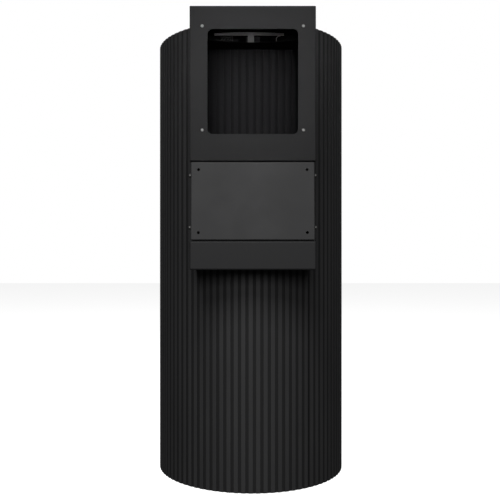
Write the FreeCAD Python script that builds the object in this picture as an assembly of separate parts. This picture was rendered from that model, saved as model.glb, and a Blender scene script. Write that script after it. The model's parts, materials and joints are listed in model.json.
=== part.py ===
import FreeCAD, Part
import math
import os

# Museum kiosk: a fluted column with a folded sheet-metal console on its front.
# Millimetres, +Z up. The origin is on the floor at the column's axis. The console faces -Y.
# Column angles are measured from the front (-Y) towards +X, so 180 degrees is the rear.

Vector = FreeCAD.Vector
UP = Vector(0, 0, 1)
SHEET = 2.0                    # folded steel sheet
GAP = 0.2                      # free space between pieces that lie on each other

# column
COLUMN_R = 250.0               # over the ribs
COLUMN_TOP = 1141.0
RIB_COUNT = 87
RIB_WIDTH = 9.9
RIB_DEPTH = 1.5
FIRST_RIB = -0.79              # angle of the rib nearest the front
PITCH = 360.0 / RIB_COUNT
CLAD_IN_R = 242.0
CLAD_BOTTOM = 2.0
SHELL_OUT_R = CLAD_IN_R - GAP
SHELL_IN_R = SHELL_OUT_R - SHEET
BASE_T = 8.0
BASE_R = 241.5
RING_BOTTOM = 1125.0
RING_TOP = 1131.0
RING_IN_R = 222.0
CAP_TOP = 1137.0
ANCHOR_R = 200.0
ANCHOR_HOLE_R = 6.5
CABLE_HOLE_R = 40.0
POST = 20.0
POST_PLACES = ((192.0, -111.0), (-192.0, -111.0), (182.0, 127.0), (-182.0, 127.0))

# rear service door
HINGE_GROOVE = 33              # grooves, counted from the front, that hold the door's two edges
LATCH_GROOVE = 53
DOOR_BOTTOM = 60.0
DOOR_TOP = 1081.0
DOOR_GAP = 1.5
HINGE_AXIS_R = 255.0
HINGE_SHELL_GAP = 3.0          # from the hinge's centre plane to each sheet edge
LATCH_SHELL_GAP = 1.5
HINGE_LENGTH = 60.0
HINGE_Z = (150.0, 540.0, 930.0)
KNUCKLE_R = 4.5
PIN_R = 2.0
RUN = 0.05                     # running clearance of shafts
LOCK_FROM_EDGE = 7.0           # degrees
LOCK_Z = 570.0
LOCK_BARREL_R = 7.95
LOCK_BODY_R = 10.9
CAM_LENGTH = 38.0
VENT_GROOVES = range(40, 47)
VENT_WIDTH = 5.0
FAN_Z = 950.0
FAN_SIDE = 120.0
FAN_FRONT = 204.0              # face of the fan towards the column's inside
FAN_BACK = 229.0
FAN_SCREW = 52.5

# console
BEZEL_Y = -337.0
BEZEL_HALF = 144.0
BEZEL_BOTTOM = 789.7
BEZEL_TOP = 1143.5
BEZEL_DEPTH = 20.0
BEND_R = 3.0
APERTURE_HALF = 103.4
APERTURE_BOTTOM = 851.0
APERTURE_TOP = 1090.7
APERTURE_R = 12.0
DISPLAY_SCREW_X = 115.2
DISPLAY_SCREW_Z = (860.0, 1097.0)
STANDOFF_LENGTH = 20.0
PLATE_HALF = 141.7
PLATE_BOTTOM = (-346.0, 608.9)         # y, z of the plate's lower front edge
PLATE_TOP = (-336.0, 788.4)
PLATE_HOLE_X = 123.5
PLATE_HOLES_UP = (17.5, 161.5)         # along the plate, from its lower edge
PLATE_HOLE_R = 3.3
FLANGE_DEPTH = 24.0
END_FLANGE_DEPTH = 12.0                # of the plate's top and bottom flanges
CORNER_RELIEF = 5.0
SIDE_SCREWS_UP = (30.0, 149.5)
SIDE_WASHER_T = 1.4
SIDE_WASHER_R = 5.5
SIDE_HEAD_R = 4.75
SIDE_HEAD_H = 3.6
SIDE_SCREW_IN = 13.0
APRON_Y = -347.0
APRON_BOTTOM = 541.5
APRON_TOP = 607.5
APRON_DEPTH = 25.0
WALL_OUT = PLATE_HALF - SHEET - GAP    # outside of the console's side walls
WALL_IN = WALL_OUT - SHEET
WALL_REAR = -209.0
FLOOR_Z = APRON_BOTTOM + SHEET + GAP
ROOF_Z = BEZEL_TOP - SHEET - GAP       # top of the roof sheet
RAIL_X = 130.0
RAIL_SCREW_Z = (600.0, 800.0, 1000.0)
LOOM_X = 40.0
LOOM_Z = 700.0
LOOM_R = 22.0
SHELF_TOP = 1073.0                     # bay shelf
SHELF_FRONT = -329.0
SHELF_HOLLOW_R = 235.0                 # hollow of the shelf's front edge
SHELF_HOLLOW_Y = -297.0                # deepest point of the hollow
BAY_BACK = -252.0
HANGER_Y = -290.0                      # middle of the hanger's post
HANGER_THICK = 4.0
HANGER_POST = (-10.6, 3.4)
HANGER_SADDLE = (-15.5, 17.5)
HANGER_SADDLE_TOP = 1089.0
HANGER_FOOT_DEPTH = 18.0
CROSSBAR = (-89.0, 74.0)
CROSSBAR_Z = (1091.2, 1098.6)
CROSSBAR_SAG = 3.2
TERMINAL_BODY = (-75.0, -46.0)
TERMINAL_BASE = (-87.0, -34.0)
TERMINAL_Y = (-288.0, -262.0)
TERMINAL_TOP = 1091.0
CLIP_X = 56.0                          # wire clip under the crossbar
CLIP_WIRE_R = 1.0
CLIP_TOP_BEND = 8.0
CLIP_LOW_BEND = 3.0

# equipment in the column
TRAY_TOP = 642.0
TRAY_HALF = 170.0
TRAY_FRONT = -100.0
TRAY_REAR = 115.0
TRAY_SLOTS = 4
TRAY_SLOT_X = 102.0
TRAY_SLOT_PITCH = 14.0
STRIP_BOTTOM = 60.0
STRIP_TOP = 104.0
STRIP_FRONT = -110.0
STRIP_REAR = -66.0
STRIP_HALF = 150.0
ROCKER_X = 100.0
ROCKER_TILT = 8.0

PLATE_RISE = PLATE_TOP[1] - PLATE_BOTTOM[1]
PLATE_RUN = PLATE_TOP[0] - PLATE_BOTTOM[0]
PLATE_LENGTH = math.hypot(PLATE_RISE, PLATE_RUN)
PLATE_TILT = math.degrees(math.atan2(PLATE_RUN, PLATE_RISE))


def groove_angle(index):
    """Angle of the groove after rib number index."""
    return FIRST_RIB + (index + 0.5) * PITCH


HINGE_ANGLE = groove_angle(HINGE_GROOVE)
LATCH_ANGLE = groove_angle(LATCH_GROOVE)
LOCK_ANGLE = LATCH_ANGLE - LOCK_FROM_EDGE
HALF_GROOVE = 0.5 * (PITCH - math.degrees(RIB_WIDTH / COLUMN_R))


def polar(radius, angle, z=0.0):
    """Point at a radius and an angle from the front."""
    turn = math.radians(angle)
    return Vector(radius * math.sin(turn), -radius * math.cos(turn), z)


def box(x, y, z):
    """Block from three (low, high) pairs."""
    return Part.makeBox(x[1] - x[0], y[1] - y[0], z[1] - z[0], Vector(x[0], y[0], z[0]))


def rod(radius, start, end):
    """Round bar between two points."""
    line = end - start
    return Part.makeCylinder(radius, line.Length, start, line)


def pipe(outer, inner, start, end):
    """Round tube between two points."""
    return rod(outer, start, end).cut(rod(inner, start, end))


def turned(shape, angle):
    """Copy of a shape built at the front, turned to its angle round the column."""
    copy = shape.copy()
    copy.rotate(Vector(0, 0, 0), UP, angle)
    return copy


def mirrored(shape):
    """Copy on the other side of the plane X = 0."""
    return shape.mirror(Vector(0, 0, 0), Vector(1, 0, 0))


def arc(radius, start, end, z):
    """Edge round the column from one angle to another."""
    middle = polar(radius, 0.5 * (start + end), z)
    return Part.Arc(polar(radius, start, z), middle, polar(radius, end, z)).toShape()


def sector(radii, angles, z):
    """Curved slab: radii, angles and heights are (low, high) pairs."""
    inner = arc(radii[0], angles[0], angles[1], z[0])
    outer = arc(radii[1], angles[0], angles[1], z[0])
    first = Part.makeLine(polar(radii[0], angles[0], z[0]), polar(radii[1], angles[0], z[0]))
    last = Part.makeLine(polar(radii[0], angles[1], z[0]), polar(radii[1], angles[1], z[0]))
    face = Part.Face(Part.Wire(Part.__sortEdges__([inner, last, outer, first])))
    return face.extrude(Vector(0, 0, z[1] - z[0]))


def prism(points, axis, span):
    """Polygon in the plane across axis ("x" or "y"), drawn from span[0] to span[1] along it."""
    if axis == "x":
        corners = [Vector(span[0], a, b) for a, b in points]
        along = Vector(span[1] - span[0], 0, 0)
    else:
        corners = [Vector(a, span[0], b) for a, b in points]
        along = Vector(0, span[1] - span[0], 0)
    return Part.Face(Part.makePolygon(corners + corners[:1])).extrude(along)


def edges_along(shape, direction):
    """Straight edges that run along a direction."""
    found = []
    for edge in shape.Edges:
        line = edge.Vertexes[-1].Point - edge.Vertexes[0].Point
        if line.Length > 0 and line.cross(direction).Length < 1e-6 * line.Length:
            found.append(edge)
    return found


def rounded_window(half_width, z, y, radius):
    """Block with rounded corners, used to cut a window through a front sheet."""
    block = box((-half_width, half_width), y, z)
    return block.makeFillet(radius, edges_along(block, Vector(0, 1, 0)))


def tray(half_width, z, front, depth):
    """Folded sheet tray, open to the rear, with bend radii at its front edges."""
    outer = box((-half_width, half_width), (front, front + depth), z)
    near = [e for e in outer.Edges if e.BoundBox.YMax < front + 0.01]
    outer = outer.makeFillet(BEND_R, near + edges_along(outer, Vector(0, 1, 0)))
    inner_z = (z[0] + SHEET, z[1] - SHEET)
    inner = box((SHEET - half_width, half_width - SHEET), (front + SHEET, front + depth + 1), inner_z)
    near = [e for e in inner.Edges if e.BoundBox.YMax < front + SHEET + 0.01]
    inner = inner.makeFillet(BEND_R - SHEET, near + edges_along(inner, Vector(0, 1, 0)))
    return outer.cut(inner)


def on_plate(shape):
    """Move a shape from the keypad plate's own frame to its tilted place on the console."""
    copy = shape.copy()
    copy.rotate(Vector(0, 0, 0), Vector(1, 0, 0), -PLATE_TILT)
    copy.translate(Vector(0, PLATE_BOTTOM[0], PLATE_BOTTOM[1]))
    return copy


def group(shapes):
    """Separate solids that share one node."""
    return Part.makeCompound(shapes)


# ---- column ----------------------------------------------------------------

def fluted_ring(z):
    """Full ring with flat-topped ribs outside and a round bore inside."""
    half = math.degrees(0.5 * RIB_WIDTH / COLUMN_R)
    low = COLUMN_R - RIB_DEPTH
    edges = []
    for index in range(RIB_COUNT):
        centre = FIRST_RIB + index * PITCH
        start = centre - half
        end = centre + half
        following = start + PITCH
        edges.append(arc(COLUMN_R, start, end, z[0]))
        edges.append(Part.makeLine(polar(COLUMN_R, end, z[0]), polar(low, end, z[0])))
        edges.append(arc(low, end, following, z[0]))
        edges.append(Part.makeLine(polar(low, following, z[0]), polar(COLUMN_R, following, z[0])))
    outline = Part.Wire(edges)
    face = Part.Face(outline)
    solid = face.extrude(Vector(0, 0, z[1] - z[0]))
    bore = Part.makeCylinder(CLAD_IN_R, z[1] - z[0] + 2, Vector(0, 0, z[0] - 1))
    return solid.cut(bore)


def wall_cutters():
    """Holes through the column's front wall for the console's screws and its cable loom."""
    cutters = []
    for side in (-1, 1):
        for height in RAIL_SCREW_Z:
            x = side * RAIL_X
            cutters.append(rod(3.2, Vector(x, -260, height), Vector(x, -150, height)))
    cutters.append(rod(LOOM_R, Vector(LOOM_X, -260, LOOM_Z), Vector(LOOM_X, -200, LOOM_Z)))
    return cutters


def vent_cutters():
    """Upright slots in the door's grooves, in front of the fan."""
    cutters = []
    for index in VENT_GROOVES:
        x = (-0.5 * VENT_WIDTH, 0.5 * VENT_WIDTH)
        slot = box(x, (-COLUMN_R - 5, -SHELL_IN_R + 5), (FAN_Z - 48, FAN_Z + 48))
        slot = slot.makeFillet(0.49 * VENT_WIDTH, edges_along(slot, Vector(0, 1, 0)))
        cutters.append(turned(slot, groove_angle(index)))
    return cutters


def lock_cutter():
    """Round hole for the lock through the door."""
    hole = rod(LOCK_BODY_R + 0.1, Vector(0, -COLUMN_R - 5, LOCK_Z), Vector(0, -SHELL_IN_R + 5, LOCK_Z))
    return turned(hole, LOCK_ANGLE)


def column_cladding(ring):
    """Fixed fluted cladding: the ring with the door's window taken out."""
    angles = (HINGE_ANGLE - HALF_GROOVE, LATCH_ANGLE + HALF_GROOVE)
    window = sector((230, 260), angles, (DOOR_BOTTOM - DOOR_GAP, DOOR_TOP + DOOR_GAP))
    return ring.cut([window] + wall_cutters())


def door_cladding(ring):
    """Fluted cladding of the door, cut from the same ring."""
    angles = (HINGE_ANGLE + HALF_GROOVE, LATCH_ANGLE - HALF_GROOVE)
    piece = ring.common(sector((230, 260), angles, (DOOR_BOTTOM, DOOR_TOP)))
    return piece.cut(vent_cutters() + [lock_cutter()])


def edge_turn(length):
    """Angle that a length takes up on the shell."""
    return math.degrees(length / SHELL_OUT_R)


def shell(left):
    """Rolled sheet from the front seam to one side of the door."""
    if left:
        angles = (LATCH_ANGLE + edge_turn(LATCH_SHELL_GAP) - 360.0, -edge_turn(0.5 * GAP))
    else:
        angles = (edge_turn(0.5 * GAP), HINGE_ANGLE - edge_turn(HINGE_SHELL_GAP))
    return sector((SHELL_IN_R, SHELL_OUT_R), angles, (BASE_T, RING_TOP)).cut(wall_cutters())


def rear_sheet(z):
    """Rolled sheet that closes the rear above or below the door."""
    start = HINGE_ANGLE - edge_turn(HINGE_SHELL_GAP - GAP)
    end = LATCH_ANGLE + edge_turn(LATCH_SHELL_GAP - GAP)
    return sector((SHELL_IN_R, SHELL_OUT_R), (start, end), z)


def base_plate():
    """Round steel plate with four anchor holes and a cable hole."""
    plate = Part.makeCylinder(BASE_R, BASE_T)
    holes = [Part.makeCylinder(CABLE_HOLE_R, BASE_T)]
    for angle in (45, 135, 225, 315):
        holes.append(Part.makeCylinder(ANCHOR_HOLE_R, BASE_T, polar(ANCHOR_R, angle)))
    return plate.cut(holes)


def base_grommet():
    """Rubber edge in the cable hole."""
    edge = pipe(CABLE_HOLE_R - GAP, 35, Vector(0, 0, 1), Vector(0, 0, BASE_T + GAP))
    flange = pipe(46, 35, Vector(0, 0, BASE_T + GAP), Vector(0, 0, BASE_T + 4))
    return edge.fuse(flange).removeSplitter()


def top_ring():
    """Flat ring that ties the shells at the top."""
    ring = pipe(SHELL_IN_R - GAP, RING_IN_R, Vector(0, 0, RING_BOTTOM), Vector(0, 0, RING_TOP))
    return ring.cut(cap_screw_bars(2.5))


def cap_screw_bars(radius):
    """Round bars on the cap screws' axes."""
    bars = []
    for angle in (45, 135, 225, 315):
        bars.append(rod(radius, polar(230, angle, RING_BOTTOM - 5), polar(230, angle, CAP_TOP)))
    return bars


def top_cap():
    """Round lid, set down inside the ribs."""
    lid = Part.makeCylinder(BASE_R, CAP_TOP - RING_TOP - GAP, Vector(0, 0, RING_TOP + GAP))
    rim = [e for e in lid.Edges if e.BoundBox.ZMin > CAP_TOP - 0.01]
    return lid.makeChamfer(1.0, rim).cut(cap_screw_bars(3.0))


def cap_screws():
    """Button-head screws in the lid."""
    screws = []
    for angle in (45, 135, 225, 315):
        shank = rod(2.45, polar(230, angle, RING_BOTTOM - 4), polar(230, angle, CAP_TOP + 1))
        screws.append(shank.fuse(button_head(5.0, 2.6, polar(230, angle, CAP_TOP), UP)))
    return group(screws)


def button_head(radius, height, seat, direction):
    """Domed screw head with a hexagon socket."""
    head = Part.makeCylinder(radius, height, seat, direction)
    far = seat + direction * height
    rim = [e for e in head.Edges if abs((e.CenterOfMass - far).dot(direction)) < 0.01]
    head = head.makeFillet(0.45 * height, [rim[0]])
    socket = Part.makeCylinder(0.4 * radius, 0.5 * height, seat + direction * (0.6 * height), direction)
    return head.cut(socket)


def inner_posts():
    """Four square tubes from the base plate to the top ring."""
    posts = []
    for x, y in POST_PLACES:
        h = 0.5 * POST
        tube = box((x - h, x + h), (y - h, y + h), (BASE_T, RING_BOTTOM))
        h = h - SHEET
        posts.append(tube.cut(box((x - h, x + h), (y - h, y + h), (BASE_T, RING_BOTTOM))))
    return group(posts)


def door_jambs():
    """Upright bars beside the door; the latch jamb has a lip for the seal."""
    z = (DOOR_BOTTOM - 40, DOOR_TOP + 40)
    hinge = sector((226, 236.4), (HINGE_ANGLE - 4.6, HINGE_ANGLE - 0.7), z)
    latch = sector((231, 239.4), (LATCH_ANGLE + 0.5, LATCH_ANGLE + 4.5), z)
    lip = sector((231, 235), (LATCH_ANGLE - 1.3, LATCH_ANGLE + 0.6), z)
    return group([hinge, latch.fuse(lip).removeSplitter()])


def door_seal():
    """Rubber strip on the latch jamb's lip."""
    z = (DOOR_BOTTOM + 2, DOOR_TOP - 2)
    return sector((235.1, SHELL_IN_R - 0.4), (LATCH_ANGLE - 1.2, LATCH_ANGLE + 0.2), z)


# ---- door ------------------------------------------------------------------

def door_shell():
    """Rolled sheet of the door with the lock hole and vents."""
    start = HINGE_ANGLE + edge_turn(HINGE_SHELL_GAP)
    end = LATCH_ANGLE - edge_turn(LATCH_SHELL_GAP)
    sheet = sector((SHELL_IN_R, SHELL_OUT_R), (start, end), (DOOR_BOTTOM, DOOR_TOP))
    return sheet.cut(vent_cutters() + [lock_cutter()])


def door_stiffeners():
    """Curved flats across the door's inside."""
    angles = (HINGE_ANGLE + 7, LATCH_ANGLE - 14)
    ribs = [sector((228, SHELL_IN_R - GAP), angles, (z, z + 3)) for z in (110.0, 420.0, 760.0)]
    return group(ribs)


def hinge_leaf(bottom, side, tabs):
    """Hinge half at the front: flange inside the sheet, tabs through the gap, and knuckles."""
    near = 0.4
    inner = -(HINGE_AXIS_R - 18.2)
    flange = box((near, 20), (inner - SHEET, inner), (bottom, bottom + HINGE_LENGTH))
    centre = Vector(0, -HINGE_AXIS_R, 0)
    leaf = flange
    for low, high in tabs:
        z = (bottom + low, bottom + high)
        tab = box((near, near + SHEET), (-HINGE_AXIS_R + 3, inner), z)
        knuckle = rod(KNUCKLE_R, centre + UP * z[0], centre + UP * z[1])
        leaf = leaf.fuse([tab, knuckle])
    bore = rod(PIN_R + RUN, centre + UP * (bottom - 1), centre + UP * (bottom + HINGE_LENGTH + 1))
    leaf = leaf.cut(bore).removeSplitter()
    if side < 0:
        leaf = mirrored(leaf)
    return turned(leaf, HINGE_ANGLE)


def hinge_leaves_body():
    """Fixed halves of the three hinges."""
    third = HINGE_LENGTH / 3.0
    tabs = ((0, third - GAP), (2 * third + GAP, HINGE_LENGTH))
    return group([hinge_leaf(z, -1, tabs) for z in HINGE_Z])


def hinge_leaves_door():
    """Moving halves of the three hinges."""
    third = HINGE_LENGTH / 3.0
    return group([hinge_leaf(z, 1, ((third + GAP, 2 * third - GAP),)) for z in HINGE_Z])


def hinge_pins():
    """Pins with a small head under each hinge."""
    pins = []
    centre = polar(HINGE_AXIS_R, HINGE_ANGLE)
    for z in HINGE_Z:
        pin = rod(PIN_R, centre + UP * (z - 2), centre + UP * (z + HINGE_LENGTH + 1))
        pins.append(pin.fuse(rod(3.2, centre + UP * (z - 3), centre + UP * (z - 0.3))))
    return group(pins)


def lock_body():
    """Lock housing with its flange outside the ribs."""
    def at(radius):
        return Vector(0, -radius, LOCK_Z)
    body = rod(LOCK_BODY_R, at(228), at(250.3)).fuse(rod(13.5, at(250.3), at(252.5)))
    return turned(body.cut(rod(LOCK_BARREL_R + RUN, at(220), at(260))), LOCK_ANGLE)


def lock_nut():
    """Nut that holds the lock housing against the door's inside."""
    nut = Part.makeCylinder(15, 4, Vector(0, -SHELL_IN_R + 5.5, LOCK_Z), Vector(0, -1, 0))
    nut = nut.common(box((-13, 13), (-260, -200), (LOCK_Z - 15, LOCK_Z + 15)))
    bore = rod(LOCK_BODY_R + RUN, Vector(0, -220, LOCK_Z), Vector(0, -260, LOCK_Z))
    return turned(nut.cut(bore), LOCK_ANGLE)


def lock_barrel():
    """Turning barrel with a key slot and a reduced end for the cam."""
    def at(radius):
        return Vector(0, -radius, LOCK_Z)
    barrel = rod(LOCK_BARREL_R, at(226), at(252)).fuse(rod(4, at(220.5), at(226)))
    slot = box((-0.7, 0.7), (-255, -246), (LOCK_Z - 3.5, LOCK_Z + 3.5))
    return turned(barrel.cut(slot), LOCK_ANGLE)


def lock_cam():
    """Flat cam on the barrel's inner end; it points up while the door is unlocked."""
    y = (-225.8, -222.8)
    blade = box((-7, 7), y, (LOCK_Z, LOCK_Z + CAM_LENGTH))
    eye = rod(9, Vector(0, y[0], LOCK_Z), Vector(0, y[1], LOCK_Z))
    bore = rod(4.0 + 0.01, Vector(0, y[0], LOCK_Z), Vector(0, y[1], LOCK_Z))
    return turned(blade.fuse(eye).removeSplitter().cut(bore), LOCK_ANGLE)


def fan_frame():
    """Square frame with a round duct, four struts and a hub plate."""
    h = 0.5 * FAN_SIDE
    block = box((-h, h), (FAN_FRONT, FAN_BACK), (FAN_Z - h, FAN_Z + h))
    block = block.makeFillet(4, edges_along(block, Vector(0, 1, 0)))
    duct = rod(57.5, Vector(0, FAN_FRONT, FAN_Z), Vector(0, FAN_BACK, FAN_Z))
    frame = block.cut(duct)
    hub = rod(20, Vector(0, FAN_FRONT, FAN_Z), Vector(0, FAN_FRONT + 4, FAN_Z))
    pin = rod(PIN_R, Vector(0, FAN_FRONT + 2, FAN_Z), Vector(0, FAN_FRONT + 14, FAN_Z))
    struts = []
    for index in range(4):
        strut = box((15, 59), (FAN_FRONT, FAN_FRONT + 3), (FAN_Z - 2.5, FAN_Z + 2.5))
        strut.rotate(Vector(0, 0, FAN_Z), Vector(0, 1, 0), 45 + 90 * index)
        struts.append(strut)
    frame = frame.fuse([hub, pin] + struts)
    return frame.cut(fan_corners(2.2, FAN_FRONT - 1, FAN_BACK + 1))


def fan_corners(radius, start, end):
    """Round bars on the four corner screws' axes."""
    bars = []
    for x in (-FAN_SCREW, FAN_SCREW):
        for z in (FAN_Z - FAN_SCREW, FAN_Z + FAN_SCREW):
            bars.append(rod(radius, Vector(x, start, z), Vector(x, end, z)))
    return bars


def fan_rotor():
    """Hub and seven pitched blades."""
    low = FAN_FRONT + 5
    hub = rod(19.5, Vector(0, low, FAN_Z), Vector(0, FAN_BACK - 2, FAN_Z))
    blades = []
    for index in range(7):
        blade = box((17, 54), (-10, 10), (-0.8, 0.8))
        blade.rotate(Vector(0, 0, 0), Vector(1, 0, 0), 42)
        blade.translate(Vector(0, 0.5 * (low + FAN_BACK - 2), FAN_Z))
        blade.rotate(Vector(0, 0, FAN_Z), Vector(0, 1, 0), index * 360.0 / 7)
        blades.append(blade)
    rotor = hub.fuse(blades)
    return rotor.cut(rod(PIN_R + RUN, Vector(0, low, FAN_Z), Vector(0, FAN_FRONT + 15, FAN_Z)))


def fan_guard():
    """Flat wire guard on the fan's inner face."""
    y = (FAN_FRONT - 2.4, FAN_FRONT - GAP)
    pieces = []
    for radius in (16.0, 29.0, 42.0, 55.0):
        pieces.append(pipe(radius + 1, radius - 1, Vector(0, y[0], FAN_Z), Vector(0, y[1], FAN_Z)))
    for index in range(4):
        bar = box((15, 77), y, (FAN_Z - 1.2, FAN_Z + 1.2))
        bar.rotate(Vector(0, 0, FAN_Z), Vector(0, 1, 0), 45 + 90 * index)
        pieces.append(bar)
    return pieces[0].fuse(pieces[1:]).removeSplitter()


def fan_standoffs():
    """Spacers between the fan's corners and the door's sheet."""
    return group(fan_corners(4.0, FAN_BACK + GAP, 232.5))


# ---- console ---------------------------------------------------------------

def bezel_panel():
    """Upper front panel with the display window and its four screw holes."""
    panel = tray(BEZEL_HALF, (BEZEL_BOTTOM, BEZEL_TOP), BEZEL_Y, BEZEL_DEPTH)
    y = (BEZEL_Y - 1, BEZEL_Y + SHEET + 1)
    window = rounded_window(APERTURE_HALF, (APERTURE_BOTTOM, APERTURE_TOP), y, APERTURE_R)
    return panel.cut([window] + display_bars(2.2, BEZEL_Y - 1, BEZEL_Y + SHEET + 1))


def display_bars(radius, start, end):
    """Round bars on the display screws' axes."""
    bars = []
    for x in (-DISPLAY_SCREW_X, DISPLAY_SCREW_X):
        for z in DISPLAY_SCREW_Z:
            bars.append(rod(radius, Vector(x, start, z), Vector(x, end, z)))
    return bars


def bezel_screws():
    """Pan-head screws that hold the display standoffs."""
    screws = []
    for shank in display_bars(1.95, BEZEL_Y - 0.5, BEZEL_Y + 9):
        centre = shank.CenterOfMass
        seat = Vector(centre.x, BEZEL_Y, centre.z)
        screws.append(shank.fuse(button_head(3.5, 2.0, seat, Vector(0, -1, 0))))
    return group(screws)


def display_standoffs():
    """Round spacers behind the bezel; their rear ends are tapped for the display's frame."""
    start = BEZEL_Y + SHEET
    end = start + STANDOFF_LENGTH
    front_holes = display_bars(2.0, start, start + 9)
    rear_holes = display_bars(1.65, end - 8, end)
    spacers = []
    for bar, front, rear in zip(display_bars(5.0, start, end), front_holes, rear_holes):
        spacers.append(bar.cut([front, rear]))
    return group(spacers)


def keypad_plate():
    """Tilted plate with four fixing holes and flanges folded back on its four sides."""
    depth = (0, FLANGE_DEPTH)
    block = box((-PLATE_HALF, PLATE_HALF), depth, (0, PLATE_LENGTH))
    front = [e for e in block.Edges if e.BoundBox.YMax < 0.01]
    block = block.makeFillet(BEND_R, front)
    depth = (SHEET, FLANGE_DEPTH + 1)
    inner = box((SHEET - PLATE_HALF, PLATE_HALF - SHEET), depth, (SHEET, PLATE_LENGTH - SHEET))
    front = [e for e in inner.Edges if e.BoundBox.YMax < SHEET + 0.01]
    plate = block.cut(inner.makeFillet(BEND_R - SHEET, front))
    cutters = side_bars(2.75, PLATE_HALF - 5, PLATE_HALF + 5)
    reach = PLATE_HALF - CORNER_RELIEF
    for low, high in ((-1, CORNER_RELIEF), (PLATE_LENGTH - CORNER_RELIEF, PLATE_LENGTH + 1)):
        cutters.append(box((-reach, reach), (END_FLANGE_DEPTH, FLANGE_DEPTH + 1), (low, high)))
        for side in (-1, 1):
            x = sorted((side * reach, side * (PLATE_HALF + 1)))
            cutters.append(box(x, (BEND_R, FLANGE_DEPTH + 1), (low, high)))
    for side in (-1, 1):
        for up in PLATE_HOLES_UP:
            x = side * PLATE_HOLE_X
            cutters.append(rod(PLATE_HOLE_R, Vector(x, -1, up), Vector(x, SHEET + 1, up)))
    return on_plate(plate.cut(cutters))


def side_bars(radius, start, end):
    """Round bars on the side screws' axes, in the keypad plate's frame."""
    bars = []
    for side in (-1, 1):
        for up in SIDE_SCREWS_UP:
            first = Vector(side * start, SIDE_SCREW_IN, up)
            bars.append(rod(radius, first, Vector(side * end, SIDE_SCREW_IN, up)))
    return bars


def side_screws():
    """Button-head screws through the keypad plate's flanges."""
    seat_x = PLATE_HALF + SIDE_WASHER_T + GAP
    screws = []
    for shank in side_bars(2.45, WALL_IN - 8, seat_x + 0.5):
        centre = shank.CenterOfMass
        side = math.copysign(1, centre.x)
        head = button_head(SIDE_HEAD_R, SIDE_HEAD_H, Vector(side * seat_x, centre.y, centre.z),
                           Vector(side, 0, 0))
        screws.append(shank.fuse(head))
    return on_plate(group(screws))


def side_washers():
    """Plain washers under the side screws."""
    start = PLATE_HALF + 0.5 * GAP
    outer = side_bars(SIDE_WASHER_R, start, start + SIDE_WASHER_T)
    inner = side_bars(2.6, start - 1, start + SIDE_WASHER_T + 1)
    return on_plate(group([a.cut(b) for a, b in zip(outer, inner)]))


def rivet_nuts():
    """Threaded inserts inside the side walls."""
    flanges = side_bars(5.0, WALL_IN - 1.1, WALL_IN - 0.1)
    bodies = side_bars(3.7, WALL_IN - 10, WALL_IN - 0.5)
    bores = side_bars(2.5, WALL_IN - 11, WALL_IN + 1)
    nuts = [a.fuse(b).cut(c) for a, b, c in zip(flanges, bodies, bores)]
    return on_plate(group(nuts))


def apron_panel():
    """Lower front panel, folded back all round."""
    return tray(BEZEL_HALF, (APRON_BOTTOM, APRON_TOP), APRON_Y, APRON_DEPTH)


def side_wall(side):
    """Console side: its front edge follows the three front panels from behind."""
    behind = 1.2
    low = FLOOR_Z + SHEET + GAP
    high = ROOF_Z - SHEET - GAP
    slope = PLATE_RUN / PLATE_RISE
    plate_rear = PLATE_BOTTOM[0] + SHEET + behind
    outline = [
        (WALL_REAR, low),
        (APRON_Y + SHEET + behind, low),
        (APRON_Y + SHEET + behind, APRON_TOP - SHEET - 1),
        (APRON_Y + APRON_DEPTH + 0.5, APRON_TOP - SHEET - 1),
        (APRON_Y + APRON_DEPTH + 0.5, APRON_TOP + 1),
        (plate_rear, APRON_TOP + 1),
        (plate_rear + slope * (PLATE_TOP[1] - APRON_TOP), PLATE_TOP[1] - 1),
        (BEZEL_Y + BEZEL_DEPTH + 0.5, PLATE_TOP[1] - 1),
        (BEZEL_Y + BEZEL_DEPTH + 0.5, BEZEL_BOTTOM + SHEET + 1),
        (BEZEL_Y + SHEET + behind, BEZEL_BOTTOM + SHEET + 1),
        (BEZEL_Y + SHEET + behind, high),
        (WALL_REAR, high),
    ]
    wall = prism(outline, "x", (WALL_IN, WALL_OUT))
    wall = wall.cut(on_plate(group(side_bars(2.8, WALL_IN - 5, WALL_OUT + 5))))
    if side < 0:
        wall = mirrored(wall)
    return wall


def deck(front, z):
    """Flat console sheet whose rear edge follows the column."""
    sheet = box((-WALL_OUT, WALL_OUT), (front, WALL_REAR), z)
    return sheet.cut(Part.makeCylinder(COLUMN_R + 0.5, 2000, Vector(0, 0, -10)))


def console_roof():
    """Top sheet of the console."""
    return deck(BEZEL_Y + SHEET + 0.5, (ROOF_Z - SHEET, ROOF_Z))


def console_floor():
    """Bottom sheet of the console with air slots."""
    floor = deck(APRON_Y + SHEET + 0.5, (FLOOR_Z, FLOOR_Z + SHEET))
    slots = []
    for index in range(-4, 5):
        x = 22.0 * index
        slot = box((x - 3, x + 3), (-315, -275), (FLOOR_Z - 1, FLOOR_Z + SHEET + 1))
        slots.append(slot.makeFillet(2.9, edges_along(slot, UP)))
    return floor.cut(slots)


def seal_strips():
    """Foam strips between the side walls and the front panels' returns."""
    x = (WALL_OUT + 0.1, BEZEL_HALF - SHEET - 0.1)
    upper = box(x, (BEZEL_Y + 4, BEZEL_Y + 16), (BEZEL_BOTTOM + 6, BEZEL_TOP - 8))
    lower = box(x, (APRON_Y + 4, APRON_Y + 18), (APRON_BOTTOM + 6, APRON_TOP - 6))
    return group([upper, lower, mirrored(upper), mirrored(lower)])


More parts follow.
